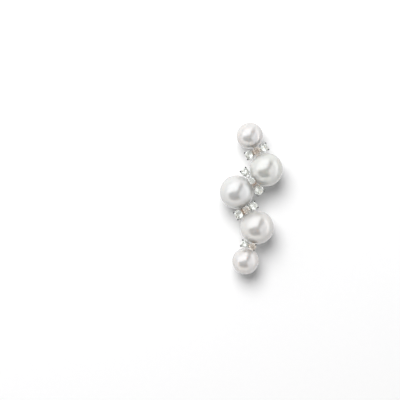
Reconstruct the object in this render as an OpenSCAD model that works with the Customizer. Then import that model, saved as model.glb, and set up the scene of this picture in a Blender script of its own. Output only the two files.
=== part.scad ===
// Pearl earring with a clip back. Five round pearls stand in a zigzag, small, large,
// large, large, small. A row of brilliant-cut stones in claws bridges each of the four
// gaps between them. Cups, pegs, rods, rings and claws are one soldered metal setting.
// The face looks up along +Z and the top end points along +Y. The feet and the clip
// rest on the plane z = 0, and the origin lies there below the middle of the outline.

/* [Pearls] */
// Diameter of the three large pearls
large_pearl_d = 7.0; // [6.8:0.1:7.2]
// Diameter of the small pearl at each end
small_pearl_d = 5.5; // [5.3:0.1:5.7]
// Space left between a pearl and the metal round it
pearl_gap = 0.05; // [0.03:0.01:0.08]

/* [Zigzag] */
// Gap between the first pearl, at the top end, and the second
gap_1 = 1.55; // [1.5:0.05:1.8]
// Gap between the second pearl and the third
gap_2 = 0.7; // [0.65:0.05:0.9]
// Gap between the third pearl and the fourth
gap_3 = 1.5; // [1.45:0.05:1.8]
// Gap between the fourth pearl and the fifth, at the lower end
gap_4 = 1.2; // [1.15:0.05:1.4]
// Lean of the step from the first pearl to the second, from -Y towards +X
lean_1 = 25.5; // [22:0.5:28]
// Lean of the step from the second pearl to the third
lean_2 = -52.5; // [-56:0.5:-49]
// Lean of the step from the third pearl to the fourth
lean_3 = 30; // [27:0.5:33]
// Lean of the step from the fourth pearl to the fifth
lean_4 = -19; // [-22:0.5:-16]

/* [Stones] */
// Table width as a share of the stone's diameter
table_share = 0.57; // [0.53:0.01:0.6]
// Crown height as a share of the stone's diameter
crown_share = 0.155; // [0.14:0.005:0.165]
// Pavilion depth as a share of the stone's diameter
pavilion_share = 0.43; // [0.41:0.01:0.44]
// Thickness of the girdle
girdle_t = 0.06; // [0.04:0.01:0.08]
// Space left between a stone and its claws
seat_gap = 0.03; // [0.02:0.01:0.04]

/* [Setting] */
// Thickness of the cup behind each pearl
cup_t = 0.5; // [0.45:0.05:0.6]
// Half angle that a cup covers, seen from the pearl's middle
cup_angle = 42; // [40:1:44]
// Diameter of the peg that a pearl is glued on
peg_d = 1.0; // [0.8:0.1:1.2]
// Diameter of the rods that join the cups
rod_d = 0.9; // [0.8:0.05:1.0]
// Diameter of a riser at its foot
riser_foot_d = 0.64; // [0.5:0.02:0.68]
// Diameter of a riser at its top
riser_top_d = 0.34; // [0.32:0.02:0.4]
// Diameter of a claw's shank
claw_d = 0.32; // [0.28:0.02:0.34]
// Diameter of the bead at a claw's tip
bead_d = 0.4; // [0.36:0.02:0.42]
// Turn of the claws from the line of the row
claw_turn = 50; // [46:1:54]
// Diameter of the wire ring below each stone
ring_wire_d = 0.24; // [0.22:0.01:0.26]
// Diameter of the side wires that join the rings of a row
side_wire_d = 0.2; // [0.18:0.01:0.21]
// Diameter of the wire across each pair of side wires
cross_wire_d = 0.28; // [0.26:0.01:0.3]

/* [Clip] */
// Thickness of the clip
clip_t = 0.7; // [0.6:0.05:0.75]
// Space left between the clip and the cups
clip_gap = 0.15; // [0.1:0.01:0.2]
// Diameter of the clip's round pad
pad_d = 4.6; // [4:0.1:5]
// Width of the clip's arm
arm_w = 2.4; // [2:0.1:2.8]
// Diameter of the stud that holds the clip on the setting
stud_d = 1.1; // [0.9:0.05:1.2]

/* [Hidden] */
$fn = 64;

// Stones, a row of the table each: gap it lies in, place along its row, diameter,
// height of its girdle above the large pearls' middle, tilt towards the row's end
STONES = [
    [1, -1.95, 1.90, 0.65, -38],
    [1, -0.10, 1.60, 1.05, 0],
    [1, 1.65, 1.80, 0.75, 30],
    [2, -2.35, 1.70, 1.10, -30],
    [2, 0.00, 1.30, 1.90, 0],
    [2, 2.55, 2.10, 0.90, 35],
    [3, -2.00, 2.10, 0.60, -35],
    [3, -0.15, 1.50, 1.10, 0],
    [3, 1.60, 1.80, 0.75, 30],
    [4, -1.45, 1.60, 1.25, -28],
    [4, 0.35, 1.50, 1.60, 6]
];

// Columns of the table of stones
GAP = 0;
PLACE = 1;
WIDTH = 2;
HEIGHT = 3;
TILT = 4;

// Pearl radii, from the top end to the lower end
RADII = [small_pearl_d, large_pearl_d, large_pearl_d, large_pearl_d, small_pearl_d] / 2;
GAPS = [gap_1, gap_2, gap_3, gap_4];
LEANS = [lean_1, lean_2, lean_3, lean_4];

// A unit step that leans from -Y towards +X, and the pearls' places that the steps give
function step(lean) = [sin(lean), -cos(lean)];
function reach(k) = RADII[k] + GAPS[k] + RADII[k + 1];
function chain(k) = k == 0 ? [0, 0] : chain(k - 1) + reach(k - 1) * step(LEANS[k - 1]);

// Middle of the pearls' outline along one direction, which the origin is set below
function low(i) = min([for (k = [0:4]) chain(k)[i] - RADII[k]]);
function high(i) = max([for (k = [0:4]) chain(k)[i] + RADII[k]]);
outline_middle = [for (i = [0, 1]) (low(i) + high(i)) / 2];

// All cups have their backs in one plane, a clip's thickness and its gap above the feet
cup_back_z = clip_t + clip_gap;
function middle_z(k) = cup_back_z + cup_t + pearl_gap + RADII[k];
function pearl_place(k) = [each chain(k) - outline_middle, middle_z(k)];
large_z = middle_z(1);

// Each gap has a frame of its own: origin in the middle of the gap at the large pearls'
// middle height, +X along the row of stones and +Y towards the pearl before the gap
function gap_place(g) =
    let (way = step(LEANS[g - 1]), from = pearl_place(g - 1))
    [each [from.x, from.y] + (RADII[g - 1] + GAPS[g - 1] / 2) * way, large_z];

// The back rods run at one height, low in the gaps, and end inside the cups
rod_z = -3.2;
rod_end = 1.7;

// The peg fills most of the hole drilled to the pearl's middle
hole_gap = 0.05;
function peg_top(k) = middle_z(k) - 0.1 * RADII[k];

// The feet stand under the cups that the clip leaves free
FEET = [0, 1, 4];
foot_d = 2.4;
foot_h = cup_back_z + 0.3;

// The ring below a stone, and the top of a claw, as shares of the stone's diameter
ring_share = 0.33;
ring_depth_share = 0.375;
claw_stand = 0.07;
bead_rise = 0.17;

// The clip runs from a foot behind the fourth pearl to a pad behind the third
stud_hole_gap = 0.03;
stud_h = 0.3;

// Bevel round the lower edge of a foot
edge_bevel = 0.15;

function ring_r(stone) = ring_share * stone[WIDTH];
function ring_depth(stone) = ring_depth_share * stone[WIDTH];

// A point of a stone's ring at a turn from the row's direction, in the frame of its gap
function ring_point(stone, turn) =
    let (
        along = ring_r(stone) * cos(turn),
        down = ring_depth(stone),
        tilt = stone[TILT]
    )
    [
        stone[PLACE] + along * cos(tilt) - down * sin(tilt),
        ring_r(stone) * sin(turn),
        stone[HEIGHT] - along * sin(tilt) - down * cos(tilt)
    ];

// The stones of one gap, in order along their row
function row_of(g) = [for (stone = STONES) if (stone[GAP] == g) stone];

module at_gap(g) {
    translate(gap_place(g))
        rotate([0, 0, LEANS[g - 1]])
            children();
}

module at_stone(stone) {
    at_gap(stone[GAP])
        translate([stone[PLACE], 0, stone[HEIGHT]])
            rotate([0, stone[TILT], 0])
                children();
}

// A straight round rod between two points, with a radius at each end
module rod(from, to, from_r, to_r) {
    span = to - from;
    translate(from)
        rotate([0, acos(span.z / norm(span)), atan2(span.y, span.x)])
            cylinder(h = norm(span), r1 = from_r, r2 = to_r, $fn = 32);
}

module pearl(k) {
    color("ivory")
        translate(pearl_place(k))
            difference() {
                sphere(r = RADII[k], $fn = 96);
                translate([0, 0, -RADII[k] - 1])
                    cylinder(h = RADII[k] + 1, d = peg_d + 2 * hole_gap);
            }
}

// The part of the cup of a pearl that lies inside a cone from the pearl's middle
module cup(k) {
    outer_r = RADII[k] + pearl_gap + cup_t;
    cone_h = outer_r + 0.5;
    translate(pearl_place(k))
        intersection() {
            sphere(r = outer_r, $fn = 96);
            translate([0, 0, -cone_h])
                cylinder(h = cone_h, r1 = cone_h * tan(cup_angle), r2 = 0, $fn = 96);
        }
}

module foot(k) {
    place = pearl_place(k);
    translate([place.x, place.y, 0]) {
        cylinder(h = edge_bevel, d1 = foot_d - 2 * edge_bevel, d2 = foot_d);
        translate([0, 0, edge_bevel])
            cylinder(h = foot_h - edge_bevel, d = foot_d);
    }
}

module peg(k) {
    place = pearl_place(k);
    peg_foot = place.z - RADII[k] - pearl_gap - cup_t / 2;
    translate([place.x, place.y, peg_foot])
        cylinder(h = peg_top(k) - peg_foot, d = peg_d);
}

// A ring of wire and four claws that lean outwards to the girdle, each with a bead
module basket(stone) {
    at_stone(stone) {
        translate([0, 0, -ring_depth(stone)])
            rotate_extrude($fn = 48)
                translate([ring_r(stone), 0])
                    circle(d = ring_wire_d, $fn = 24);
        for (turn = [claw_turn, 180 - claw_turn, 180 + claw_turn, -claw_turn]) {
            rotate([0, 0, turn]) {
                rod(
                    [ring_r(stone), 0, -ring_depth(stone)],
                    [stone[WIDTH] / 2 + claw_stand, 0, bead_rise],
                    claw_d / 2,
                    claw_d / 2
                );
                translate([stone[WIDTH] / 2, 0, bead_rise])
                    sphere(d = bead_d, $fn = 32);
            }
        }
    }
}

// The space that a stone takes in its claws
module seat(stone) {
    girdle_r = stone[WIDTH] / 2 + seat_gap;
    table_r = stone[WIDTH] / 2 * table_share + seat_gap;
    top = girdle_t / 2 + crown_share * stone[WIDTH] + seat_gap;
    bottom = girdle_t / 2 + pavilion_share * stone[WIDTH] + 1.4 * seat_gap;
    at_stone(stone)
        rotate_extrude($fn = 64)
            polygon([
                [0, -bottom],
                [girdle_r, -girdle_t / 2 - 0.3 * seat_gap],
                [girdle_r, girdle_t / 2 + 0.6 * seat_gap],
                [table_r, top],
                [0, top]
            ]);
}

// Side wires, cross wires and risers that carry the rings of one row
module row_frame(g) {
    row = row_of(g);
    at_gap(g)
        for (i = [0:len(row) - 2]) {
            // From the claws' feet of one ring to those of the next, on both sides
            start = [for (side = [-1, 1]) ring_point(row[i], side * claw_turn)];
            end = [for (side = [-1, 1]) ring_point(row[i + 1], 180 - side * claw_turn)];
            for (side = [0, 1])
                rod(start[side], end[side], side_wire_d / 2, side_wire_d / 2);
            middle = (start + end) / 2;
            rod(middle[0], middle[1], cross_wire_d / 2, cross_wire_d / 2);
            rod([0, 0, rod_z], (middle[0] + middle[1]) / 2, riser_foot_d / 2, riser_top_d / 2);
        }
}

// The rod low in a gap that joins the cups on its two sides
module back_rod(g) {
    near = RADII[g - 1] + GAPS[g - 1] / 2 - rod_end;
    far = RADII[g] + GAPS[g - 1] / 2 - rod_end;
    at_gap(g)
        rod([0, near, rod_z], [0, -far, rod_z], rod_d / 2, rod_d / 2);
}

module stud_hole() {
    place = pearl_place(3);
    translate([place.x, place.y, 0])
        cylinder(h = clip_t + stud_h + clip_gap, d = stud_d + 2 * stud_hole_gap);
}

module setting() {
    color("silver") {
        difference() {
            union() {
                for (k = [0:4])
                    cup(k);
                for (k = FEET)
                    foot(k);
                for (g = [1:4]) {
                    back_rod(g);
                    row_frame(g);
                }
                for (stone = STONES)
                    basket(stone);
            }
            for (k = [0:4])
                translate(pearl_place(k))
                    sphere(r = RADII[k] + pearl_gap, $fn = 96);
            for (stone = STONES)
                seat(stone);
            stud_hole();
        }
        for (k = [0:4])
            peg(k);
    }
}

// A flat strip with a round foot, a straight arm and a round pad, and the stud on its foot
module ear_clip() {
    from = pearl_place(3);
    span = pearl_place(2) - from;
    color("silver")
        translate([from.x, from.y, 0])
            rotate([0, 0, atan2(span.y, span.x)]) {
                cylinder(h = clip_t + stud_h, d = stud_d);
                linear_extrude(height = clip_t) {
                    circle(d = arm_w);
                    translate([0, -arm_w / 2])
                        square([norm(span), arm_w]);
                    translate([norm(span), 0])
                        circle(d = pad_d);
                }
            }
}

// A round brilliant: eight star, eight kite and sixteen upper facets on the crown,
// sixteen girdle facets, and sixteen lower facets and eight mains on the pavilion.
// The radii of the points between the facets keep every kite and main flat.
module brilliant(width) {
    girdle_r = width / 2;
    table_r = girdle_r * table_share;
    crown_h = crown_share * width;
    pavilion_h = pavilion_share * width;
    half = girdle_t / 2;
    upper_r = (table_r * cos(22.5) + girdle_r) / 2;
    upper_z = half + crown_h * (girdle_r - upper_r * cos(22.5)) / (girdle_r - table_r);
    lower_r = 0.24 * girdle_r;
    lower_z = -half - pavilion_h * (1 - lower_r * cos(22.5) / girdle_r);
    function around(r, turn, z) = [r * cos(turn), r * sin(turn), z];
    points = [
        for (i = [0:7]) around(table_r, 45 * i, half + crown_h),
        for (i = [0:7]) around(upper_r, 45 * i + 22.5, upper_z),
        for (i = [0:15]) around(girdle_r, 22.5 * i, half),
        for (i = [0:15]) around(girdle_r, 22.5 * i, -half),
        for (i = [0:7]) around(lower_r, 45 * i + 22.5, lower_z),
        [0, 0, -half - pavilion_h]
    ];
    table = 0;
    upper = 8;
    girdle_top = 16;
    girdle_low = 32;
    lower = 48;
    culet = 56;
    faces = [
        [for (i = [7:-1:0]) table + i],
        for (i = [0:7]) [table + i, table + (i + 1) % 8, upper + i],
        for (i = [0:7]) [table + i, upper + i, girdle_top + 2 * i, upper + (i + 7) % 8],
        for (i = [0:7]) [upper + i, girdle_top + 2 * i + 1, girdle_top + 2 * i],
        for (i = [0:7]) [upper + i, girdle_top + (2 * i + 2) % 16, girdle_top + 2 * i + 1],
        for (i = [0:15]) [
            girdle_top + i,
            girdle_top + (i + 1) % 16,
            girdle_low + (i + 1) % 16,
            girdle_low + i
        ],
        for (i = [0:7]) [lower + i, girdle_low + 2 * i, girdle_low + 2 * i + 1],
        for (i = [0:7]) [lower + i, girdle_low + 2 * i + 1, girdle_low + (2 * i + 2) % 16],
        for (i = [0:7]) [culet, lower + (i + 7) % 8, girdle_low + 2 * i, lower + i]
    ];
    polyhedron(points = points, faces = faces);
}

module stone(i) {
    color("lightcyan")
        at_stone(STONES[i])
            brilliant(STONES[i][WIDTH]);
}

setting();
ear_clip();
pearl(0);  // pearl_1
pearl(1);  // pearl_2
pearl(2);  // pearl_3
pearl(3);  // pearl_4
pearl(4);  // pearl_5
stone(0);  // stone_1
stone(1);  // stone_2
stone(2);  // stone_3
stone(3);  // stone_4
stone(4);  // stone_5
stone(5);  // stone_6
stone(6);  // stone_7
stone(7);  // stone_8
stone(8);  // stone_9
stone(9);  // stone_10
stone(10);  // stone_11
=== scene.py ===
"""Dresses a pearl earring for a studio picture: nacre, cut stones, white metal, floor and light."""

import logging
import math
from collections.abc import Iterator
from contextlib import contextmanager
from dataclasses import dataclass
from enum import Enum

import bmesh
import bpy
import numpy as np
from mathutils import Matrix, Vector


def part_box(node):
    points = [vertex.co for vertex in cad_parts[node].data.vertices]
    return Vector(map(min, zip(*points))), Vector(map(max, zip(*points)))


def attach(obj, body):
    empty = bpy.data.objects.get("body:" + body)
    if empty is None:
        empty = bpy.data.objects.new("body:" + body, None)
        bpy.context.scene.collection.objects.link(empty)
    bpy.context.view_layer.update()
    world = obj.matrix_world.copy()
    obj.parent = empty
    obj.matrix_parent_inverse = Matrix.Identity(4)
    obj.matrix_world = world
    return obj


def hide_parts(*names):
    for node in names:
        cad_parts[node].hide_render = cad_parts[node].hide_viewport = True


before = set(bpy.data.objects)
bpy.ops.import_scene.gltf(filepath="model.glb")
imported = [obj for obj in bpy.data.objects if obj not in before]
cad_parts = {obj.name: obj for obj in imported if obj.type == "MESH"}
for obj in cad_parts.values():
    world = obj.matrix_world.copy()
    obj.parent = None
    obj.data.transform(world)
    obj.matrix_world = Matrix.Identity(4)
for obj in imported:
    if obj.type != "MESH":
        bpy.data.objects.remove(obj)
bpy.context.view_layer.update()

MM = 0.001
LOG = logging.getLogger("pearl_earring")
PAINTED_TIP_MARK = "claw_tip_painted_reflection"
PEARLS = ("pearl_1", "pearl_2", "pearl_3", "pearl_4", "pearl_5")
# largest angles in degrees between faces that are shaded smooth
PEARL_SMOOTH = 50.0
METAL_SMOOTH = 35.0
# metres from one pearl's place in the growth waves to the next one's
WAVE_STEP = 0.02
# share of a size within which a face or an edge counts as being at a place
NEAR = 0.01

Colour = tuple[float, float, float]
Direction = tuple[float, float, float]
Stations = tuple[tuple[float, ...], ...]
Inputs = dict[str | int, object]
Piece = bpy.types.Object
Material = bpy.types.Material
Tree = bpy.types.NodeTree
Node = bpy.types.Node
Socket = bpy.types.NodeSocket

WHITE: Colour = (1.0, 1.0, 1.0)


class Slot(Enum):
    """The record's material slots for pearls and metal; nothing in the script uses them."""

    PEARL = "pearl"
    METAL = "white_metal"


class Overtone(Enum):
    """The tint that lies over the white body of a pearl."""

    ROSE = "rose"
    GREEN = "green"
    CREAM = "cream"
    SILVER = "silver"


class NodeBench:
    """Adds nodes to one node tree and links them."""

    def __init__(self, tree: Tree) -> None:
        """Takes the tree that the nodes go into."""
        self.tree = tree

    def feed(self, target: Socket, source: object) -> None:
        """Links a socket to an input, or sets the input to a plain value.

        Args:
            target: The input socket.
            source: An output socket, a number or a tuple.
        """
        if isinstance(source, Socket):
            self.tree.links.new(source, target)
        else:
            target.default_value = source

    def fill(self, node: Node, inputs: Inputs) -> None:
        """Feeds several inputs of a node, each by its name or number."""
        for name, source in inputs.items():
            self.feed(node.inputs[name], source)

    def node(self, kind: str, inputs: Inputs | None = None, **fields: object) -> Node:
        """Adds a node, sets its own fields and feeds its inputs.

        Args:
            kind: The node type's identifier.
            inputs: Names or numbers of its inputs, each with what it is fed.
            fields: Values of the node's properties, such as its operation.

        Returns:
            The new node.
        """
        made = self.tree.nodes.new(kind)
        for name, value in fields.items():
            setattr(made, name, value)
        self.fill(made, inputs or {})
        return made

    def math(self, operation: str, *values: object) -> Socket:
        """Adds a Math node with the given inputs and returns its output."""
        return self.node("ShaderNodeMath", dict(enumerate(values)), operation=operation).outputs[0]

    def vector(self, operation: str, inputs: Inputs, output: str | int = 0) -> Socket:
        """Adds a Vector Math node with the given inputs and returns one of its outputs."""
        return self.node("ShaderNodeVectorMath", inputs, operation=operation).outputs[output]

    def dot(self, first: object, second: object) -> Socket:
        """Adds a dot product of two vectors and returns its output."""
        return self.vector("DOT_PRODUCT", {0: first, 1: second}, "Value")

    def spread(self, value: object, low: object, high: object) -> Socket:
        """Adds a smooth step that is 0 where the value is low and 1 where it is high."""
        inputs = {"Value": value, "From Min": low, "From Max": high}
        return self.node("ShaderNodeMapRange", inputs, interpolation_type="SMOOTHSTEP").outputs["Result"]

    def mix(self, factor: Socket, first: object, second: object) -> Socket:
        """Adds a colour mix.

        Args:
            factor: Share of the second colour.
            first: The first colour.
            second: The second colour.

        Returns:
            The mixed colour's output.
        """
        made = self.node("ShaderNodeMix", {"Factor": factor}, data_type="RGBA")
        targets = [socket for socket in made.inputs if socket.type == "RGBA"]
        for target, colour in zip(targets, (first, second)):
            self.feed(target, (*colour, 1.0) if isinstance(colour, tuple) else colour)
        return next(socket for socket in made.outputs if socket.type == "RGBA")

    def add_light(self, base: object, share: Socket, colour: Colour) -> Socket:
        """Adds a share of a colour to a base colour, past white if need be."""
        scaled = self.vector("SCALE", {0: colour, "Scale": share})
        return self.vector("ADD", {0: base, 1: scaled})

    def noise(self, place: Socket, scale: object, detail: float, distortion: float = 0.0) -> Socket:
        """Adds a noise texture, its scale in waves a metre, and returns its value."""
        inputs = {"Vector": place, "Scale": scale, "Detail": detail, "Distortion": distortion}
        return self.node("ShaderNodeTexNoise", inputs).outputs["Fac"]

    def bump(self, height: Socket, strength: float, distance: float) -> Socket:
        """Adds a Bump node, its distance in metres, and returns its normal."""
        inputs = {"Height": height, "Strength": strength, "Distance": distance}
        return self.node("ShaderNodeBump", inputs).outputs["Normal"]

    def object_place(self) -> Socket:
        """Adds the Object texture coordinates and returns their output."""
        return self.node("ShaderNodeTexCoord").outputs["Object"]

    def show_instead(self, other: Node, ray: str, share: float, shader: Node) -> None:
        """Shows one kind of ray another shader than the material's own.

        Args:
            other: The shader that those rays meet.
            ray: The Light Path output that tells the kind.
            share: Share of the other shader for those rays.
            shader: The material's own shader.
        """
        factor = self.math("MULTIPLY", self.node("ShaderNodeLightPath").outputs[ray], share)
        inputs = {0: factor, 1: shader.outputs[0], 2: other.outputs[0]}
        blend = self.node("ShaderNodeMixShader", inputs)
        out = next(node for node in self.tree.nodes if node.type == "OUTPUT_MATERIAL")
        self.feed(out.inputs["Surface"], blend.outputs[0])


class SurfaceGroups:
    """Shader node groups that several finishes share, each built once."""

    def __init__(self) -> None:
        """Builds the groups."""
        self.relief = self.build_relief()
        self.marks = self.build_marks()
        self.painted_warm_shade = self.build_painted_warm_shade()

    @staticmethod
    def open_group(
        name: str, inputs: dict[str, float], outputs: tuple[str, ...]
    ) -> tuple[NodeBench, bpy.types.NodeOutputs, Node]:
        """Makes an empty group with a place and float sockets.

        Args:
            name: The group's name.
            inputs: Names of the float inputs and their default values.
            outputs: Names of the outputs.

        Returns:
            A bench for its tree, the sockets that bring its inputs, and its output node.
        """
        tree = bpy.data.node_groups.new(name, "ShaderNodeTree")
        tree.interface.new_socket("Place", in_out="INPUT", socket_type="NodeSocketVector")
        for socket, value in inputs.items():
            made = tree.interface.new_socket(socket, in_out="INPUT", socket_type="NodeSocketFloat")
            made.default_value = value
        for socket in outputs:
            tree.interface.new_socket(socket, in_out="OUTPUT", socket_type="NodeSocketFloat")
        bench = NodeBench(tree)
        return bench, bench.node("NodeGroupInput").outputs, bench.node("NodeGroupOutput")

    def build_relief(self) -> Tree:
        """Builds soft unevenness: long waves with a fine ripple over them.

        Returns:
            The group's tree.
        """
        inputs = {"Wave Scale": 400.0, "Ripple Scale": 4000.0, "Ripple Share": 0.15}
        bench, into, out = self.open_group("soft_relief", inputs, ("Height",))
        wave = bench.noise(into["Place"], into["Wave Scale"], detail=1.0)
        ripple = bench.noise(into["Place"], into["Ripple Scale"], detail=3.0)
        bench.fill(out, {"Height": bench.math("MULTIPLY_ADD", ripple, into["Ripple Share"], wave)})
        return bench.tree

    def build_marks(self) -> Tree:
        """Builds traces of handling: dull smudges and hairline scratches.

        Returns:
            The group's tree.
        """
        inputs = {"Smudge Scale": 250.0, "Scratch Scale": 900.0}
        bench, into, out = self.open_group("handling_marks", inputs, ("Smudge", "Scratch"))
        cloud = bench.noise(into["Place"], into["Smudge Scale"], detail=4.0, distortion=0.6)
        stretch = {"Vector": into["Place"], "Scale": (1.0, 0.06, 0.35), "Rotation": (0.5, 0.3, 0.8)}
        stretched = bench.node("ShaderNodeMapping", stretch).outputs["Vector"]
        hair = bench.noise(stretched, into["Scratch Scale"], detail=5.0, distortion=0.2)
        smudge = bench.spread(cloud, low=0.48, high=0.72)
        bench.fill(out, {"Smudge": smudge, "Scratch": bench.spread(hair, low=0.60, high=0.68)})
        return bench.tree

    def build_painted_warm_shade(self) -> Tree:
        """Builds the painted warm shade low in the middle of each row of stones, darker and warmer where
        the pearls' warm reflection falls in the shade.

        Returns:
            The group's tree.
        """
        inputs = {"Reach": 0.95 * MM, "Core": 0.3 * MM}
        bench, into, out = self.open_group("row_painted_warm_shade", inputs, ("Painted Warm Shade",))
        nearest: object = 1.0
        for row in ROWS:
            ends = {0: into["Place"], 1: row.warm_shade_spot()}
            nearest = bench.math("MINIMUM", bench.vector("DISTANCE", ends, "Value"), nearest)
        bench.fill(out, {"Painted Warm Shade": bench.spread(nearest, into["Reach"], into["Core"])})
        return bench.tree

    @staticmethod
    def place(bench: NodeBench, tree: Tree, **values: float) -> bpy.types.NodeOutputs:
        """Places a group in a material.

        Args:
            bench: The material's bench.
            tree: The group's tree.
            values: Input names, small and with underscores for blanks, and their values.

        Returns:
            The group node's outputs.
        """
        inputs = {name.replace("_", " ").title(): value for name, value in values.items()}
        inputs["Place"] = bench.object_place()
        return bench.node("ShaderNodeGroup", inputs, node_tree=tree).outputs


def new_material(name: str) -> tuple[Material, NodeBench, Node]:
    """Makes a material with one Principled shader.

    Args:
        name: The material's name.

    Returns:
        The material, a bench for its tree and its Principled node.
    """
    material = bpy.data.materials.new(name)
    material.use_nodes = True
    shader = next(node for node in material.node_tree.nodes if node.type == "BSDF_PRINCIPLED")
    return material, NodeBench(material.node_tree), shader


@dataclass(frozen=True)
class NacreFinish:
    """Nacre: a pale body under a lustrous skin with a faint overtone."""

    overtone: Overtone
    body: Colour
    cloud: Colour
    gloss: float = 0.20
    smudged: float = 0.05
    mirror: float = 0.46
    refraction: float = 1.6
    edge: float = 0.9
    glow: Colour = (1.0, 0.92, 0.85)
    glow_depth: float = 3.0 * MM
    coat: float = 0.4
    coat_gloss: float = 0.12
    coat_refraction: float = 1.53
    growth: float = 0.12
    growth_height: float = 0.012 * MM

    def material(self, groups: SurfaceGroups) -> Material:
        """Builds the material.

        Args:
            groups: The shared node groups.

        Returns:
            The nacre material.
        """
        material, bench, shader = new_material(f"nacre_{self.overtone.value}")
        waves = {"wave_scale": 420.0, "ripple_scale": 5200.0, "ripple_share": 0.05}
        relief = groups.place(bench, groups.relief, **waves)
        marks = groups.place(bench, groups.marks, smudge_scale=330.0, scratch_scale=700.0)
        drift = bench.noise(bench.object_place(), scale=260.0, detail=2.0, distortion=0.8)
        bench.fill(shader, {
            "Base Color": bench.mix(bench.spread(drift, low=0.38, high=0.66), self.body, self.cloud),
            "Roughness": bench.math("MULTIPLY_ADD", marks["Smudge"], self.smudged, self.gloss),
            "Normal": bench.bump(relief["Height"], self.growth, self.growth_height),
            "Metallic": self.mirror,
            "IOR": self.refraction,
            "Specular Tint": (self.edge, self.edge, self.edge, 1.0),
            "Subsurface Weight": 1.0,
            "Subsurface Radius": self.glow,
            "Subsurface Scale": self.glow_depth,
            "Coat Weight": self.coat,
            "Coat Roughness": self.coat_gloss,
            "Coat IOR": self.coat_refraction,
        })
        return material


@dataclass(frozen=True)
class BrilliantFinish:
    """Cut stone, colourless, with painted warm shade where it sits in the shaded middle of a row."""

    clear: Colour = (0.91, 0.93, 0.87)
    # painted warm shade: the darker, warm tint that stones take in the shaded middle of a row, for the
    # pearls' warm reflection there
    warm_shade_tint: Colour = (0.56, 0.39, 0.28)
    dust: Colour = (0.6, 0.6, 0.58)
    dusted: float = 0.08
    haze: float = 0.05
    smudged: float = 0.03
    refraction: float = 1.9
    shadow_free: float = 0.85
    shadow_tint: Colour = (0.95, 0.95, 0.94)

    def material(self, groups: SurfaceGroups) -> Material:
        """Builds the material.

        Args:
            groups: The shared node groups.

        Returns:
            The stone material.
        """
        material, bench, shader = new_material("brilliant")
        marks = groups.place(bench, groups.marks, smudge_scale=900.0, scratch_scale=2400.0)
        painted_warm_shade = groups.place(bench, groups.painted_warm_shade, reach=1.1 * MM, core=0.5 * MM)
        # painted warm shade in the middle of each row
        tint = bench.mix(painted_warm_shade["Painted Warm Shade"], self.clear, self.warm_shade_tint)
        dust = bench.math("MULTIPLY", marks["Smudge"], self.dusted)
        bench.fill(shader, {
            "Base Color": bench.mix(dust, tint, self.dust),
            "Roughness": bench.math("MULTIPLY_ADD", marks["Smudge"], self.smudged, self.haze),
            "IOR": self.refraction,
            "Transmission Weight": 1.0,
        })
        through = bench.node("ShaderNodeBsdfTransparent", {"Color": (*self.shadow_tint, 1.0)})
        bench.show_instead(through, "Is Shadow Ray", self.shadow_free, shader)
        return material


@dataclass(frozen=True)
class WhiteMetalFinish:
    """Polished white metal with hairlines, a painted dark reflection on the outer claw tips and painted
    warm shade low in the rows.
    """

    bright: Colour = (0.88, 0.88, 0.86)
    dull: Colour = (0.60, 0.60, 0.58)
    dulled: float = 0.6
    # colour of the painted warm shade low in the rows
    warm: Colour = (0.55, 0.42, 0.33)
    # colour of the painted dark reflection on the outer claw tips
    tip: Colour = (0.20, 0.20, 0.19)
    gloss: float = 0.13
    worn: float = 0.08
    relief: float = 0.4
    relief_height: float = 0.004 * MM

    def material(self, groups: SurfaceGroups) -> Material:
        """Builds the material.

        Args:
            groups: The shared node groups.

        Returns:
            The metal material.
        """
        material, bench, shader = new_material("white_metal")
        waves = {"wave_scale": 1500.0, "ripple_scale": 9000.0, "ripple_share": 0.3}
        relief = groups.place(bench, groups.relief, **waves)
        marks = groups.place(bench, groups.marks, smudge_scale=700.0, scratch_scale=1800.0)
        painted_warm_shade = groups.place(bench, groups.painted_warm_shade, reach=1.2 * MM, core=0.5 * MM)
        # share of the painted dark reflection on the outer claw tips
        tips = bench.node("ShaderNodeAttribute", attribute_name=PAINTED_TIP_MARK)
        clean = bench.mix(bench.math("MULTIPLY", marks["Smudge"], self.dulled), self.bright, self.dull)
        # painted warm shade low in the rows
        shaded_metal = bench.mix(painted_warm_shade["Painted Warm Shade"], clean, self.warm)
        wear = bench.math("ADD", marks["Smudge"], marks["Scratch"])
        bench.fill(shader, {
            # painted dark reflection on the outer claw tips over the rest
            "Base Color": bench.mix(tips.outputs["Fac"], shaded_metal, self.tip),
            "Roughness": bench.math("MULTIPLY_ADD", wear, self.worn, self.gloss),
            "Normal": bench.bump(relief["Height"], self.relief, self.relief_height),
            "Metallic": 1.0,
        })
        return material


@dataclass(frozen=True)
class FloorFinish:
    """Matt white paper with a faint grain, evenly lit where polished things mirror it."""

    mirrored: float = 0.86
    mirrored_share: float = 0.9
    white: Colour = (0.91, 0.91, 0.91)
    grain: Colour = (0.895, 0.895, 0.90)
    relief: float = 0.3
    relief_height: float = 0.004 * MM

    def material(self, groups: SurfaceGroups) -> Material:
        """Builds the material.

        Args:
            groups: The shared node groups.

        Returns:
            The floor material.
        """
        material, bench, shader = new_material("white_paper")
        waves = {"wave_scale": 900.0, "ripple_scale": 6000.0, "ripple_share": 0.5}
        relief = groups.place(bench, groups.relief, **waves)
        bench.fill(shader, {
            "Base Color": bench.mix(relief["Height"], self.white, self.grain),
            "Normal": bench.bump(relief["Height"], self.relief, self.relief_height),
            "Roughness": 0.9,
            "Specular IOR Level": 0.1,
        })
        glow = bench.node("ShaderNodeEmission", {"Strength": self.mirrored})
        bench.show_instead(glow, "Is Glossy Ray", self.mirrored_share, shader)
        return material


def clear_selection() -> None:
    """Leaves edit mode and deselects everything."""
    if bpy.context.object and bpy.context.object.mode != "OBJECT":
        bpy.ops.object.mode_set(mode="OBJECT")
    bpy.ops.object.select_all(action="DESELECT")


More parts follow.
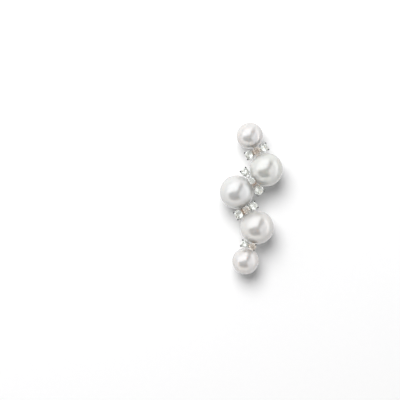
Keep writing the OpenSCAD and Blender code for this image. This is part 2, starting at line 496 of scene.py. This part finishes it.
def take(piece: Piece) -> None:
    """Makes one piece the only selected and active one.

    Args:
        piece: The piece.
    """
    clear_selection()
    piece.select_set(True)
    bpy.context.view_layer.objects.active = piece


def settle(piece: Piece) -> None:
    """Puts a piece's place, turn and size into its mesh."""
    take(piece)
    bpy.ops.object.transform_apply(location=True, rotation=True, scale=True)


def new_piece(name: str) -> Piece:
    """Names the primitive just added and settles it.

    Args:
        name: Its name.

    Returns:
        The piece.
    """
    piece = bpy.context.object
    piece.name = name
    settle(piece)
    return piece


@contextmanager
def editing(piece: Piece) -> Iterator[bmesh.types.BMesh]:
    """Opens a piece in edit mode with nothing selected.

    Args:
        piece: The piece.

    Yields:
        Its edit mesh, for selecting faces and edges.
    """
    take(piece)
    bpy.ops.object.mode_set(mode="EDIT")
    bpy.context.tool_settings.mesh_select_mode = (False, True, True)
    bpy.ops.mesh.select_all(action="DESELECT")
    yield bmesh.from_edit_mesh(piece.data)
    bpy.ops.object.mode_set(mode="OBJECT")


def modify(piece: Piece, kind: str, **fields: object) -> None:
    """Adds a modifier to a piece and applies it.

    Args:
        piece: The piece.
        kind: The modifier's type.
        fields: Values of its properties.
    """
    take(piece)
    modifier = piece.modifiers.new(kind.lower(), kind)
    for name, value in fields.items():
        setattr(modifier, name, value)
    bpy.ops.object.modifier_apply(modifier=modifier.name)


def round_edges(piece: Piece, width: float, angle: float) -> None:
    """Rounds the edges of a piece that are sharper than an angle in degrees."""
    limit = math.radians(angle)
    modify(piece, "BEVEL", width=width, segments=4, limit_method="ANGLE", angle_limit=limit)


def combine(piece: Piece, tools: list[Piece], operation: str) -> None:
    """Unites other pieces with a piece, or cuts them out of it, and throws them away.

    Args:
        piece: The piece that stays.
        tools: The pieces that are used up.
        operation: UNION or DIFFERENCE.
    """
    for tool in tools:
        modify(piece, "BOOLEAN", operation=operation, solver="MANIFOLD", object=tool)
        mesh = tool.data
        bpy.data.objects.remove(tool)
        bpy.data.meshes.remove(mesh)


def copy_to(piece: Piece, place: Matrix) -> Piece:
    """Copies a piece with a mesh of its own and puts the copy in place.

    Args:
        piece: The piece to copy.
        place: Where the copy goes, from where the piece is.

    Returns:
        The copy.
    """
    copy = piece.copy()
    copy.data = piece.data.copy()
    bpy.context.scene.collection.objects.link(copy)
    copy.matrix_world = place
    settle(copy)
    return copy


def draw_post(name: str, place: Vector, ends: tuple[float, float], radius: float, sides: int) -> Piece:
    """Draws an upright cylinder.

    Args:
        name: Its name.
        place: A point above or below it, on its axis.
        ends: The heights of its two ends.
        radius: Its radius.
        sides: Faces round it.

    Returns:
        The cylinder.
    """
    low, high = ends
    clear_selection()
    middle = (place.x, place.y, (low + high) / 2)
    bpy.ops.mesh.primitive_cylinder_add(
        vertices=sides, radius=radius, depth=high - low, location=middle
    )
    return new_piece(name)


def draw_ball(name: str, centre: Vector, radius: float) -> Piece:
    """Draws a ball.

    Args:
        name: Its name.
        centre: Its middle.
        radius: Its radius.

    Returns:
        The ball.
    """
    clear_selection()
    bpy.ops.mesh.primitive_uv_sphere_add(segments=72, ring_count=48, radius=radius, location=centre)
    return new_piece(name)


def draw_rod(start: Vector, end: Vector, stations: Stations, sides: int) -> Piece:
    """Draws a straight round rod whose thickness changes along its way.

    Args:
        start: The rod's first end.
        end: Its other end.
        stations: Pairs of share of the way and radius.
        sides: Faces round the rod.

    Returns:
        The rod.
    """
    span = end - start
    radius = stations[0][1]
    depth = span.length * (stations[1][0] - stations[0][0])
    bpy.ops.mesh.primitive_cylinder_add(
        vertices=sides,
        radius=radius,
        depth=depth,
        end_fill_type="NGON",
        location=start + span.normalized() * depth / 2,
        rotation=span.to_track_quat("Z", "Y").to_euler(),
    )
    rod = new_piece("rod")
    tip = start + span * stations[1][0]
    with editing(rod) as mesh:
        for face in mesh.faces:
            face.select_set((face.calc_center_median() - tip).length < NEAR * radius)
        grow = stations[1][1] / radius
        bpy.ops.transform.resize(value=(grow, grow, grow), center_override=tip)
        for (last, last_r), (share, next_r) in zip(stations[1:], stations[2:]):
            tip = start + span * share
            grow = next_r / last_r
            bpy.ops.mesh.extrude_region_move(TRANSFORM_OT_translate={"value": span * (share - last)})
            bpy.ops.transform.resize(value=(grow, grow, grow), center_override=tip)
    return rod


def draw_wire(start: Vector, end: Vector, radius: float, sides: int) -> Piece:
    """Draws a straight round wire of even thickness."""
    return draw_rod(start, end, ((0.0, radius), (0.5, radius), (1.0, radius)), sides)


def draw_bent_wire(stations: Stations, sides: int) -> Piece:
    """Draws a wire that bends in the plane of X and Z.

    Args:
        stations: Triples of x, z and radius, from the foot up.
        sides: Faces round the wire.

    Returns:
        The wire.
    """
    points = [Vector((x, 0.0, z)) for x, z, _ in stations]
    runs = [(far - near).normalized() for near, far in zip(points, points[1:])]
    leans = [math.atan2(run.x, run.z) for run in runs]
    caps = [(near + far) / 2 for near, far in zip(leans, leans[1:])] + [leans[-1]]
    radius = stations[0][2]
    bpy.ops.mesh.primitive_cylinder_add(
        vertices=sides,
        radius=radius,
        depth=(points[1] - points[0]).length,
        end_fill_type="NGON",
        location=(points[0] + points[1]) / 2,
        rotation=(0.0, leans[0], 0.0),
    )
    wire = new_piece("wire")
    lean = leans[0]
    with editing(wire) as mesh:
        for face in mesh.faces:
            face.select_set((face.calc_center_median() - points[1]).length < NEAR * radius)
        for number, (point, cap) in enumerate(zip(points[1:], caps)):
            if number:
                move = {"value": point - points[number]}
                bpy.ops.mesh.extrude_region_move(TRANSFORM_OT_translate=move)
            bpy.ops.transform.rotate(value=lean - cap, orient_axis="Y", center_override=point)
            grow = stations[number + 1][2] / stations[number][2]
            bpy.ops.transform.resize(value=(grow, grow, grow), center_override=point)
            lean = cap
    return wire


def pearl_round(node: str) -> tuple[Vector, float]:
    """Reads the round of a pearl off its CAD node.

    Args:
        node: The pearl's CAD node.

    Returns:
        Its middle and its radius.
    """
    low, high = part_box(node)
    radius = (high.x - low.x) / 2
    return Vector(((low.x + high.x) / 2, (low.y + high.y) / 2, high.z - radius)), radius


@dataclass
class Pearl:
    """One pearl, drilled from behind and glued on its peg."""

    node: str
    wave_shift: Direction
    cuts: int = 23
    drill_r: float = 0.55 * MM
    drill_share: float = 1.5
    waviness: float = 0.012 * MM
    wave_length: float = 4.5 * MM

    def build(self) -> Piece:
        """Models the pearl inside the round that its CAD node takes.

        Returns:
            The pearl.
        """
        centre, radius = pearl_round(self.node)
        mean_r = radius - self.waviness / 2
        clear_selection()
        bpy.ops.mesh.primitive_cube_add(size=2 * mean_r)
        pearl = new_piece(f"{self.node}_nacre")
        with editing(pearl):
            bpy.ops.mesh.select_all(action="SELECT")
            bpy.ops.mesh.subdivide(number_cuts=self.cuts)
            bpy.ops.transform.tosphere(value=1.0)
        grow = mean_r / pearl.data.vertices[0].co.length
        with editing(pearl):
            bpy.ops.mesh.select_all(action="SELECT")
            bpy.ops.transform.resize(value=(grow, grow, grow), center_override=(0.0, 0.0, 0.0))
            bpy.ops.transform.translate(value=self.wave_shift)
        self.make_uneven(pearl)
        pearl.location = centre - Vector(self.wave_shift)
        settle(pearl)
        depth = self.drill_share * radius
        drill = draw_post("drill", centre, (centre.z - depth, centre.z), self.drill_r, 32)
        combine(pearl, [drill], "DIFFERENCE")
        return pearl

    def make_uneven(self, pearl: Piece) -> None:
        """Gives the pearl the slight long waves that no grown pearl lacks.

        Args:
            pearl: The pearl, moved by its wave_shift, so that each gets its own part of the waves.
        """
        waves = bpy.data.textures.new("growth_waves", "CLOUDS")
        waves.noise_scale = self.wave_length
        waves.noise_depth = 0
        fields = {"texture": waves, "texture_coords": "LOCAL", "direction": "NORMAL"}
        modify(pearl, "DISPLACE", strength=self.waviness, mid_level=0.5, **fields)


@dataclass(frozen=True)
class StoneSeat:
    """Where a stone sits, read off its CAD node."""

    place: Matrix
    width: float

    @staticmethod
    def read(node: str, across: Vector) -> "StoneSeat":
        """Finds a stone's own frame: +Z out of its table, +Y across the row.

        Args:
            node: The stone's CAD node.
            across: The level direction across the row.

        Returns:
            The stone's seat.
        """
        decimals = 7
        girdle_share = 0.97
        corners = np.array([v.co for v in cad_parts[node].data.vertices], float)
        corners = np.unique(corners.round(decimals), axis=0)
        offsets = corners - corners.mean(axis=0)
        _, _, directions = np.linalg.svd(offsets, full_matrices=False)
        axis = directions[2]
        heights = offsets @ axis
        lateral = np.linalg.norm(offsets - np.outer(heights, axis), axis=1)
        girdle = lateral > girdle_share * lateral.max()
        level = heights[girdle].mean()
        if heights.max() - level > level - heights.min():
            axis = -axis
        middle = Vector(corners[girdle].mean(axis=0))
        up = Vector(axis).normalized()
        along = across.cross(up).normalized()
        turn = Matrix((along, up.cross(along), up)).transposed()
        return StoneSeat(Matrix.Translation(middle) @ turn.to_4x4(), 2 * float(lateral.max()))

    def point(self, turn: float, reach: float, height: float) -> Vector:
        """Finds a point from its turn in degrees, reach and height in the stone's frame."""
        angle = math.radians(turn)
        return self.place @ Vector((reach * math.cos(angle), reach * math.sin(angle), height))


@dataclass(frozen=True)
class Row:
    """One row of stones between two pearls."""

    before: str
    after: str
    stones: tuple[str, ...]
    # where across the row, and how high, the painted warm shade sits
    warm_shade_shift: float
    warm_shade_height: float = 5.6 * MM

    def across(self) -> Vector:
        """Finds the level direction of length 1 towards the pearl before the gap."""
        way = pearl_round(self.before)[0] - pearl_round(self.after)[0]
        return Vector((way.x, way.y, 0.0)).normalized()

    def middle(self) -> Vector:
        """Finds the middle of the gap.

        Returns:
            A point at height 0.
        """
        centre, radius = pearl_round(self.before)
        other, other_r = pearl_round(self.after)
        across = self.across()
        middle = (centre - across * radius + (other + across * other_r)) / 2
        return Vector((middle.x, middle.y, 0.0))

    def seats(self) -> list[StoneSeat]:
        """Reads the seats of the row's stones."""
        return [StoneSeat.read(node, self.across()) for node in self.stones]

    def warm_shade_spot(self) -> Vector:
        """Finds the point in the part where the row's painted warm shade is strongest."""
        spot = self.middle() + self.across().cross(Vector((0.0, 0.0, 1.0))) * self.warm_shade_shift
        return Vector((spot.x, spot.y, self.warm_shade_height))


ROWS = (
    Row("pearl_1", "pearl_2", ("stone_1", "stone_2", "stone_3"), -0.3 * MM),
    Row("pearl_2", "pearl_3", ("stone_4", "stone_5", "stone_6"), 0.65 * MM),
    Row("pearl_3", "pearl_4", ("stone_7", "stone_8", "stone_9"), -0.65 * MM),
    Row("pearl_4", "pearl_5", ("stone_10", "stone_11"), 0.45 * MM, 6.05 * MM),
)


@dataclass
class Claws:
    """The ring below a stone and the four claws that grip its girdle."""

    ring_share: float = 0.33
    ring_depth_share: float = 0.375
    ring_wire_r: float = 0.12 * MM
    foot_r: float = 0.165 * MM
    waist_r: float = 0.145 * MM
    bead_r: float = 0.195 * MM
    stand: float = 0.07 * MM
    turn: float = 50.0
    sides: int = 10
    tip_height: float = 0.30 * MM
    # reach of the painted dark reflection round each outer claw tip
    painted_tip_reach: float = 0.34 * MM

    def turns(self) -> tuple[float, ...]:
        """Lists the claws' turns in degrees from the row's direction."""
        return (self.turn, 180.0 - self.turn, 180.0 + self.turn, -self.turn)

    def tips(self, seat: StoneSeat) -> list[Vector]:
        """Finds the tips of a stone's claws."""
        return [seat.point(turn, seat.width / 2, self.tip_height) for turn in self.turns()]

    def foot(self, seat: StoneSeat, turn: float) -> Vector:
        """Finds a point of a stone's ring at a turn in degrees from the row's direction."""
        return seat.point(turn, self.ring_share * seat.width, -self.ring_depth_share * seat.width)

    def outer_tips(self) -> list[Vector]:
        """Finds the tips of the claws at the two ends of every row.

        Returns:
            Points in the part.
        """
        tips = []
        for row in ROWS:
            seats = row.seats()
            middle = row.middle()
            for seat in (seats[0], seats[-1]):
                place = seat.place.translation
                outward = (place - middle) * Vector((1.0, 1.0, 0.0))
                tips += [tip for tip in self.tips(seat) if (tip - place).dot(outward) > 0.0]
        return tips

    def paint_tip_reflection(self, setting: Piece) -> None:
        """Marks a painted dark reflection on the outer claws' tips in the setting's mesh, for its
        finish.

        Args:
            setting: The united setting.
        """
        mesh = setting.data
        places = np.empty(3 * len(mesh.vertices))
        mesh.vertices.foreach_get("co", places)
        tips = np.array(self.outer_tips())
        away = np.linalg.norm(places.reshape(-1, 1, 3) - tips, axis=2).min(axis=1)
        # full up to half the reach, then fading until one and a half
        shares = np.clip(1.5 - away / self.painted_tip_reach, 0.0, 1.0)
        mesh.attributes.new(PAINTED_TIP_MARK, "FLOAT", "POINT").data.foreach_set("value", shares)

    def claw(self, seat: StoneSeat) -> Piece:
        """Models one claw in its stone's frame: a curved shank with a rounded bead over the girdle.

        Args:
            seat: The stone's seat.

        Returns:
            The claw.
        """
        foot_x = self.ring_share * seat.width
        rise = self.ring_depth_share * seat.width
        rim = seat.width / 2
        out = rim + self.stand - foot_x
        # x and z are shares of the way out and up
        shank = (
            (-0.06, -0.06, 0.8 * self.foot_r),
            (0.02, 0.04, self.foot_r),
            (0.45, 0.38, self.waist_r),
            (0.84, 0.74, self.waist_r),
        )
        # x and z count from the girdle
        bead = (
            (self.stand, -0.03 * MM, 0.92 * self.foot_r),
            (0.065 * MM, 0.09 * MM, 0.95 * self.bead_r),
            (0.03 * MM, 0.19 * MM, self.bead_r),
            (-0.01 * MM, 0.27 * MM, 0.82 * self.bead_r),
            (-0.04 * MM, 0.325 * MM, 0.5 * self.bead_r),
        )
        stations = tuple((foot_x + x * out, z * rise - rise, radius) for x, z, radius in shank)
        stations += tuple((rim + x, z, radius) for x, z, radius in bead)
        claw = draw_bent_wire(stations, self.sides)
        modify(claw, "SUBSURF", levels=1, render_levels=1)
        return claw

    def build(self, seat: StoneSeat) -> list[Piece]:
        """Models the ring and the claws of one stone.

        Args:
            seat: The stone's seat.

        Returns:
            The ring and the four claws, in place.
        """
        clear_selection()
        bpy.ops.mesh.primitive_torus_add(
            major_radius=self.ring_share * seat.width,
            minor_radius=self.ring_wire_r,
            major_segments=40,
            minor_segments=12,
            location=(0.0, 0.0, -self.ring_depth_share * seat.width),
        )
        ring = new_piece("ring")
        claw = self.claw(seat)
        turned = [Matrix.Rotation(math.radians(turn), 4, "Z") for turn in self.turns()]
        parts = [copy_to(ring, seat.place)] + [copy_to(claw, seat.place @ turn) for turn in turned]
        bpy.data.objects.remove(ring)
        bpy.data.objects.remove(claw)
        return parts


@dataclass
class Setting:
    """Cups, pegs, feet, rods, risers, rings and claws, soldered into one piece."""

    claws: Claws
    pearl_gap: float = 0.05 * MM
    cup_wall: float = 0.5 * MM
    cup_angle: float = 42.0
    cup_rim: float = 0.12 * MM
    peg_r: float = 0.5 * MM
    rod_z: float = 1.7 * MM
    rod_r: float = 0.45 * MM
    rod_end: float = 1.7 * MM
    foot_r: float = 1.2 * MM
    foot_h: float = 1.15 * MM
    foot_edge: float = 0.15 * MM
    riser_foot_r: float = 0.32 * MM
    riser_top_r: float = 0.17 * MM
    side_wire_r: float = 0.1 * MM
    cross_wire_r: float = 0.14 * MM
    seat_gap: float = 0.03 * MM
    girdle_half: float = 0.03 * MM
    table_share: float = 0.57
    crown_share: float = 0.155
    pavilion_share: float = 0.43
    stud_hole_r: float = 0.58 * MM
    stud_hole_h: float = 1.15 * MM
    peg_stop: float = 0.1
    rod_flare: float = 1.18
    rod_waist: float = 0.9
    riser_flare: float = 1.15
    riser_waist: float = 0.92
    room_reach: float = 1.4
    feet: tuple[str, ...] = ("pearl_1", "pearl_2", "pearl_5")
    stud_under: str = "pearl_4"

    def cup(self, node: str) -> Piece:
        """Models the bowl behind a pearl, with a rounded rim.

        Args:
            node: The pearl's CAD node.

        Returns:
            The bowl.
        """
        centre, radius = pearl_round(node)
        outer = radius + self.pearl_gap + self.cup_wall
        cup = draw_ball("cup", centre, outer)
        rim = centre - Vector((0.0, 0.0, outer * math.cos(math.radians(self.cup_angle))))
        with editing(cup):
            bpy.ops.mesh.select_all(action="SELECT")
            plane = {"plane_co": rim, "plane_no": (0.0, 0.0, 1.0)}
            bpy.ops.mesh.bisect(**plane, clear_outer=True, threshold=1e-7)
        modify(cup, "SOLIDIFY", thickness=self.cup_wall, offset=-1.0, use_even_offset=True)
        round_edges(cup, self.cup_rim, 40.0)
        return cup

    def foot(self, node: str) -> Piece:
        """Models the round foot under a cup, with a rounded lower edge.

        Args:
            node: The CAD node of the cup's pearl.

        Returns:
            The foot.
        """
        foot = draw_post("foot", pearl_round(node)[0], (0.0, self.foot_h), self.foot_r, 64)
        with editing(foot) as mesh:
            for edge in mesh.edges:
                edge.select_set(max(v.co.z for v in edge.verts) < NEAR * self.foot_h)
            bpy.ops.mesh.bevel(offset=self.foot_edge, segments=4, affect="EDGES")
        return foot

    def peg(self, node: str) -> Piece:
        """Models the peg that a pearl is glued on.

        Args:
            node: The pearl's CAD node.

        Returns:
            The peg.
        """
        centre, radius = pearl_round(node)
        low = centre - Vector((0.0, 0.0, radius + self.pearl_gap + self.cup_wall / 2))
        high = centre - Vector((0.0, 0.0, self.peg_stop * radius))
        thick = self.peg_r
        stations = ((0.0, thick), (0.96, thick), (0.99, 0.85 * thick), (1.0, 0.6 * thick))
        return draw_rod(low, high, stations, 32)

    def back_rod(self, row: Row) -> Piece:
        """Models the rod low in a gap, flared with solder where it meets the cups.

        Args:
            row: The row in the gap.

        Returns:
            The rod.
        """
        across = row.across()
        ends = []
        for node, side in ((row.before, -1.0), (row.after, 1.0)):
            centre, _ = pearl_round(node)
            centre.z = self.rod_z
            ends.append(centre + across * side * self.rod_end)
        flare = self.rod_flare * self.rod_r
        thin = self.rod_waist * self.rod_r
        stations = ((0.0, flare), (0.12, flare), (0.22, self.rod_r), (0.34, thin))
        stations += tuple((1.0 - share, radius) for share, radius in reversed(stations))
        return draw_rod(ends[0], ends[1], stations, 28)

    def row_frame(self, row: Row) -> list[Piece]:
        """Models the side wires, cross wires and risers that carry the rings of one row.

        Args:
            row: The row.

        Returns:
            The wires and risers.
        """
        parts = []
        seats = row.seats()
        base = row.middle()
        base.z = self.rod_z
        turn = self.claws.turn
        waist = self.riser_waist * (self.riser_foot_r + self.riser_top_r) / 2
        flare = self.riser_flare * self.riser_top_r
        riser = ((0.0, self.riser_foot_r), (0.15, self.riser_foot_r), (0.5, waist))
        riser += ((0.86, self.riser_top_r), (1.0, flare))
        for first, second in zip(seats, seats[1:]):
            starts = [self.claws.foot(first, side * turn) for side in (-1, 1)]
            ends = [self.claws.foot(second, 180.0 - side * turn) for side in (-1, 1)]
            for start, end in zip(starts, ends):
                parts.append(draw_wire(start, end, self.side_wire_r, 16))
            middles = [(start + end) / 2 for start, end in zip(starts, ends)]
            parts.append(draw_wire(middles[0], middles[1], self.cross_wire_r, 16))
            parts.append(draw_rod(base, (middles[0] + middles[1]) / 2, riser, 20))
        return parts

    def seat_cutter(self, seat: StoneSeat) -> Piece:
        """Models the room that a stone takes in its claws.

        Args:
            seat: The stone's seat.

        Returns:
            The room, in place.
        """
        girdle_r = seat.width / 2 + self.seat_gap
        table_r = seat.width / 2 * self.table_share + self.seat_gap
        half = self.girdle_half + self.seat_gap / 2
        top = self.girdle_half + self.crown_share * seat.width + self.seat_gap
        bottom = self.girdle_half + self.pavilion_share * seat.width
        bottom += self.room_reach * self.seat_gap
        span = top + bottom
        stations = (
            (0.0, 0.02 * girdle_r),
            ((bottom - half) / span, girdle_r),
            ((bottom + half) / span, girdle_r),
            (1.0, table_r),
        )
        cutter = draw_rod(Vector((0.0, 0.0, -bottom)), Vector((0.0, 0.0, top)), stations, 48)
        cutter.matrix_world = seat.place
        settle(cutter)
        return cutter

    def pearl_cutter(self, node: str) -> Piece:
        """Models the room that a pearl takes, a little into the wall of its cup."""
        centre, radius = pearl_round(node)
        return draw_ball("pearl_room", centre, radius + self.room_reach * self.pearl_gap)

    def stud_cutter(self) -> Piece:
        """Models the room that the clip's stud takes."""
        reach = (-self.stud_hole_h, self.stud_hole_h)
        return draw_post("stud_room", pearl_round(self.stud_under)[0], reach, self.stud_hole_r, 48)

    def build(self) -> Piece:
        """Models the whole setting.

        Returns:
            The setting.
        """
        frame_work: list[Piece] = []
        seats = [seat for row in ROWS for seat in row.seats()]
        for row in ROWS:
            frame_work.append(self.back_rod(row))
            frame_work += self.row_frame(row)
        for seat in seats:
            frame_work += self.claws.build(seat)
        setting = frame_work.pop(0)
        setting.name = "setting_metal"
        combine(setting, frame_work, "UNION")
        combine(setting, [self.seat_cutter(seat) for seat in seats], "DIFFERENCE")
        combine(setting, [self.pearl_cutter(node) for node in PEARLS], "DIFFERENCE")
        combine(setting, [self.cup(node) for node in PEARLS], "UNION")
        combine(setting, [self.foot(node) for node in self.feet], "UNION")
        combine(setting, [self.stud_cutter()], "DIFFERENCE")
        combine(setting, [self.peg(node) for node in PEARLS], "UNION")
        self.claws.paint_tip_reflection(setting)
        return setting


@dataclass
class EarClip:
    """The clip behind the lower pearls: a stud, a foot, an arm and a pad in one."""

    stud_under: str = "pearl_4"
    pad_under: str = "pearl_3"
    thickness: float = 0.7 * MM
    arm_w: float = 2.4 * MM
    pad_r: float = 2.3 * MM
    stud_r: float = 0.55 * MM
    stud_h: float = 1.0 * MM
    edge: float = 0.14 * MM

    def arm(self, start: Vector, end: Vector) -> Piece:
        """Models the flat arm between the foot and the pad.

        Args:
            start: The middle of the foot, on the floor.
            end: The middle of the pad, on the floor.

        Returns:
            The arm.
        """
        span = end - start
        clear_selection()
        bpy.ops.mesh.primitive_cube_add(
            size=1.0,
            location=(start + end) / 2 + Vector((0.0, 0.0, self.thickness / 2)),
            rotation=(0.0, 0.0, math.atan2(span.y, span.x)),
            scale=(span.length, self.arm_w, self.thickness),
        )
        return new_piece("arm")

    def build(self) -> Piece:
        """Models the clip.

        Returns:
            The clip.
        """
        start = pearl_round(self.stud_under)[0]
        end = pearl_round(self.pad_under)[0]
        start.z = end.z = 0.0
        flat = (0.0, self.thickness)
        clip = draw_post("clip_metal", end, flat, self.pad_r, 96)
        foot = draw_post("foot", start, flat, self.arm_w / 2, 64)
        combine(clip, [self.arm(start, end), foot], "UNION")
        round_edges(clip, self.edge, 50.0)
        combine(clip, [draw_post("stud", start, (0.0, self.stud_h), self.stud_r, 48)], "UNION")
        return clip


@dataclass(frozen=True)
class Panel:
    """A lit sector of the dome with soft straight edges, which may shine more in mirrors."""

    colour: Colour
    strength: float
    shine: float
    edges: tuple[Direction, ...] = ()
    softness: float = 0.11
    heights: tuple[float, float] | None = None

    def light(self, bench: NodeBench, toward: Socket, mirrored: Socket) -> Socket:
        """Builds the panel's share of the dome.

        Args:
            bench: The world's bench.
            toward: The direction looked at.
            mirrored: 1 where the panel is seen in a polished thing, else 0.

        Returns:
            The panel's mask times its strength.
        """
        mask = bench.math("MULTIPLY_ADD", mirrored, self.shine - self.strength, self.strength)
        for edge in self.edges:
            inside = bench.spread(bench.dot(toward, edge), -self.softness, self.softness)
            mask = bench.math("MULTIPLY", inside, mask)
        if self.heights:
            height = bench.dot(toward, (0.0, 0.0, 1.0))
            mask = bench.math("MULTIPLY", bench.spread(height, *self.heights), mask)
        return mask


def opposite(edge: Direction) -> Direction:
    """Turns an edge round, so that the other side of it is lit."""
    return (-edge[0], -edge[1], -edge[2])


KEY_BOTTOM = (-0.25, 0.957, -0.147)
KEY_SIDE = (-0.93, 0.33, -0.02)
RIGHT_SIDE = (0.968, 0.077, -0.240)
RIGHT_TOP = (0.733, -0.625, -0.27)
LOW_TOP = (0.159, -0.551, -0.819)
LOW_SIDE = (-0.87, -0.49, 0.0)
LEFT_SIDE = (-0.446, 0.0, -0.895)
STREAK_BOTTOM = (0.5, 0.8, -0.25)
STREAK_SIDE = (0.9, -0.2, -0.1)
KEY = (KEY_BOTTOM, KEY_SIDE)
KEY_COLOUR = (1.0, 0.99, 0.975)
KEY_MIRRORED = (0.96, 0.99, 1.03)
COOL = (0.96, 0.965, 1.0)
WARM = (1.0, 0.99, 0.96)


@dataclass(frozen=True)
class Lamp:
    """A round soft lamp that leaves no reflection of its own."""

    power: float = 2.45
    azimuth: float = 112.0
    lean: float = 30.0
    half_angle: float = 19.0
    distance: float = 0.5

    def hang(self) -> None:
        """Hangs the lamp, turned towards the middle of the floor."""
        azimuth = math.radians(self.azimuth)
        lean = math.radians(self.lean)
        level = math.sin(lean)
        toward = Vector((math.cos(azimuth) * level, math.sin(azimuth) * level, math.cos(lean)))
        data = bpy.data.lights.new("lamp", "AREA")
        data.shape = "DISK"
        data.size = 2 * self.distance * math.tan(math.radians(self.half_angle))
        data.energy = self.power
        lamp = bpy.data.objects.new("lamp", data)
        lamp.location = toward * self.distance
        lamp.rotation_mode = "QUATERNION"
        lamp.rotation_quaternion = toward.to_track_quat("Z", "Y")
        lamp.visible_camera = False
        lamp.visible_glossy = False
        lamp.visible_transmission = False
        bpy.context.scene.collection.objects.link(lamp)


@dataclass
class Studio:
    """Camera, floor and light."""

    frame_px: float = 400.0
    px_per_mm: float = 4.8
    origin_px: tuple[float, float] = (251.4, 198.5)
    focus_z: float = 4.9 * MM
    lens: float = 150.0
    sensor: float = 36.0
    floor_size: float = 3.0
    backdrop: Colour = (0.96, 0.96, 0.96)
    stone_fill: float = 0.4
    paper: FloorFinish = FloorFinish()
    lights: tuple[Panel, ...] = (
        Panel(WHITE, 0.16, 0.12),
        Panel(KEY_COLOUR, 0.6, 0.0, KEY),
        Panel(KEY_MIRRORED, 0.0, 0.48, KEY),
        Panel(KEY_MIRRORED, 0.0, 0.70, KEY, heights=(0.0, 0.5)),
        Panel(COOL, 0.17, 0.84, (RIGHT_SIDE, RIGHT_TOP, opposite(LOW_SIDE))),
        Panel(WARM, 0.24, 0.95, (LOW_TOP, LOW_SIDE), 0.12),
        Panel(WHITE, 0.24, 0.75, (LEFT_SIDE, opposite(KEY_BOTTOM), opposite(LOW_TOP)), 0.12),
        Panel(WHITE, 0.06, 0.55, (STREAK_BOTTOM, STREAK_SIDE), 0.3, (0.5, 0.2)),
    )

    def camera(self) -> None:
        """Hangs the camera straight above the floor, as in the photo."""
        view_w = self.frame_px / self.px_per_mm * MM
        middle_px = self.frame_px / 2
        x = (middle_px - self.origin_px[0]) / self.px_per_mm * MM
        y = (self.origin_px[1] - middle_px) / self.px_per_mm * MM
        data = bpy.data.cameras.new("camera")
        data.lens = self.lens
        data.sensor_width = self.sensor
        data.clip_start = 0.01
        data.clip_end = 20.0
        camera = bpy.data.objects.new("camera", data)
        camera.location = (x, y, self.focus_z + view_w * self.lens / self.sensor)
        bpy.context.scene.collection.objects.link(camera)
        bpy.context.scene.camera = camera

    def floor(self, groups: SurfaceGroups) -> None:
        """Lays the floor under the earring.

        Args:
            groups: The shared node groups.
        """
        clear_selection()
        bpy.ops.mesh.primitive_plane_add(size=self.floor_size, location=(0, 0, 0))
        floor = bpy.context.object
        floor.name = "floor"
        floor.data.materials.append(self.paper.material(groups))

    def dome(self) -> None:
        """Lights the scene with a dome of soft-edged panels over a weak all-round light."""
        world = bpy.data.worlds.new("studio")
        world.use_nodes = True
        bpy.context.scene.world = world
        bench = NodeBench(world.node_tree)
        background = next(node for node in world.node_tree.nodes if node.type == "BACKGROUND")
        toward = bench.node("ShaderNodeTexCoord").outputs["Generated"]
        ray = bench.node("ShaderNodeLightPath").outputs
        in_stone = bench.math("GREATER_THAN", ray["Transmission Depth"], 0.5)
        total: object = (0.0, 0.0, 0.0)
        for panel in self.lights:
            share = panel.light(bench, toward, ray["Is Glossy Ray"])
            total = bench.add_light(total, share, panel.colour)
        total = bench.add_light(total, bench.math("MULTIPLY", in_stone, self.stone_fill), WHITE)
        seen = bench.mix(ray["Is Camera Ray"], total, self.backdrop)
        bench.fill(background, {"Color": seen, "Strength": 1.0})

    @staticmethod
    def develop() -> None:
        """Shows the light as it is, with no film curve."""
        plain = {"view_transform": "Standard", "look": "None", "exposure": 0.0, "gamma": 1.0}
        for name, value in plain.items():
            setattr(bpy.context.scene.view_settings, name, value)


def dress(piece: Piece, finish: Material, node: str, angle: float) -> None:
    """Gives a finished piece its material and lets it stand for its CAD node.

    Args:
        piece: The piece.
        finish: Its material.
        node: The CAD node that it replaces.
        angle: Largest angle in degrees between faces that are shaded smooth.
    """
    piece.data.materials.clear()
    piece.data.materials.append(finish)
    take(piece)
    bpy.ops.object.shade_smooth_by_angle(angle=math.radians(angle))
    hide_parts(node)
    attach(piece, "root")
    LOG.info("%s for %s, %d faces", piece.name, node, len(piece.data.polygons))


def main() -> None:
    """Builds the studio, then the earring's pieces, and dresses them."""
    logging.basicConfig(level=logging.INFO, format="%(message)s")
    groups = SurfaceGroups()
    studio = Studio()
    studio.camera()
    studio.floor(groups)
    studio.dome()
    Lamp().hang()
    studio.develop()
    rose = NacreFinish(Overtone.ROSE, (0.750, 0.727, 0.712), (0.738, 0.725, 0.715))
    green = NacreFinish(Overtone.GREEN, (0.726, 0.733, 0.701), (0.733, 0.728, 0.709))
    silver = NacreFinish(Overtone.SILVER, (0.728, 0.730, 0.718), (0.731, 0.725, 0.718))
    cream = NacreFinish(Overtone.CREAM, (0.740, 0.727, 0.707), (0.735, 0.725, 0.709))
    nacres = {finish.overtone: finish.material(groups) for finish in (rose, green, silver, cream)}
    for number, (node, finish) in enumerate(zip(PEARLS, (rose, green, silver, cream, rose))):
        pearl = Pearl(node, (WAVE_STEP * number, 0.0, 0.0)).build()
        dress(pearl, nacres[finish.overtone], node, PEARL_SMOOTH)
    metal = WhiteMetalFinish().material(groups)
    dress(Setting(Claws()).build(), metal, "setting", METAL_SMOOTH)
    dress(EarClip().build(), metal, "ear_clip", METAL_SMOOTH)
    brilliant = BrilliantFinish().material(groups)
    for row in ROWS:
        for node in row.stones:
            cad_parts[node].data.materials.clear()
            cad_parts[node].data.materials.append(brilliant)
            LOG.info("stone %s", node)


if __name__ == "__main__":
    main()
